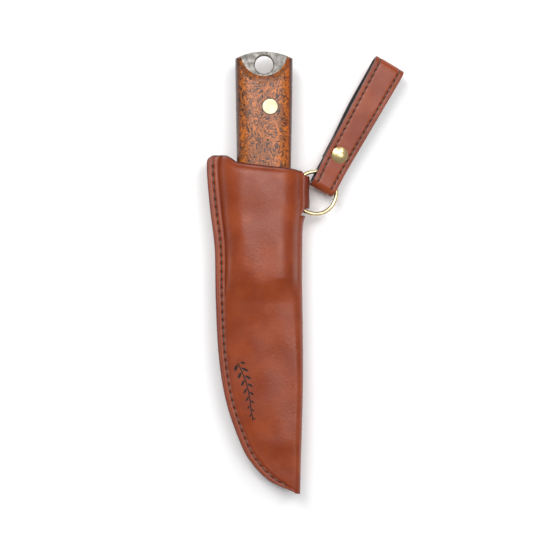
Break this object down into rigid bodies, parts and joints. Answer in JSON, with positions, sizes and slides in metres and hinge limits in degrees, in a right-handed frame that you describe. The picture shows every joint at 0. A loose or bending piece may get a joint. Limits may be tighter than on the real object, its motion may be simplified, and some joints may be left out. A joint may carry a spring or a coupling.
{
  "type": "sheathed belt knife",
  "caption": "Full-tang belt knife with wooden grip scales, in a stitched leather sheath with a hanging ring and a snap-closed belt loop.",
  "frame": {"origin": "middle of the flat on the sheath's back, 25 mm below the mouth on the knife's axis, where the sheath rests on a table", "axes": "+Y along the knife toward its butt, +X toward the sheath's folded side with the ring, +Z out of the sheath's front"},
  "size_m": [0.1098, 0.2472, 0.026],
  "materials": {
    "steel": "matt grey stonewashed steel",
    "wood": "stained curly birch burl, oiled and polished",
    "brass": "polished brass",
    "brown_leather": "smooth vegetable-tanned cowhide, waxed red-brown",
    "black_leather": "thin black lining leather, matt",
    "thread": "waxed brown thread"
  },
  "bodies": {
    "sheath": {"sheath_leather": "brown_leather", "seam_welt": "brown_leather", "seam_thread": "thread"},
    "knife": {"blade_and_tang": "steel", "front_scale": "wood", "back_scale": "wood", "butt_pin": "brass", "shoulder_pin": "brass"},
    "ring": {"d_ring": "brass"},
    "ring_fold": {"ring_fold_leather": "brown_leather", "ring_fold_lining": "black_leather"},
    "belt_loop": {"strap_front": "brown_leather", "strap_front_lining": "black_leather", "strap_return": "brown_leather", "strap_return_lining": "black_leather", "strap_thread_left": "thread", "strap_thread_right": "thread", "snap_cap": "brass", "snap_socket": "brass"},
    "belt_flap": {"flap_leather": "brown_leather", "flap_lining": "black_leather", "flap_thread_left": "thread", "flap_thread_right": "thread", "snap_stud": "brass", "stud_rivet": "brass"}
  },
  "joints": [
    {"name": "knife_draw", "type": "slide", "parent": "sheath", "child": "knife", "axis": [0, 1, 0], "range_m": [0, 0.19]},
    {"name": "ring_swing", "type": "hinge", "parent": "sheath", "child": "ring", "pos_m": [0.0214, 0.0107, 0.013], "axis": [0, 1, 0], "range_deg": [-55, 54]},
    {"name": "loop_slide", "type": "hinge", "parent": "ring", "child": "ring_fold", "pos_m": [0.02903, 0.0107, 0.01138], "axis": [0.2079, 0, 0.9781], "range_deg": [-60, 5]},
    {"name": "loop_turn", "type": "hinge", "parent": "ring_fold", "child": "belt_loop", "pos_m": [0.03746, 0.02337, 0.00958], "axis": [0.8629, -0.471, -0.1834], "range_deg": [-60, 60]},
    {"name": "loop_open", "type": "hinge", "parent": "belt_loop", "child": "belt_flap", "pos_m": [0.06774, 0.08008, 0.0064], "axis": [0.8629, -0.471, -0.1834], "range_deg": [0, 95], "stiffness_Nm_per_rad": 0.002}
  ]
}
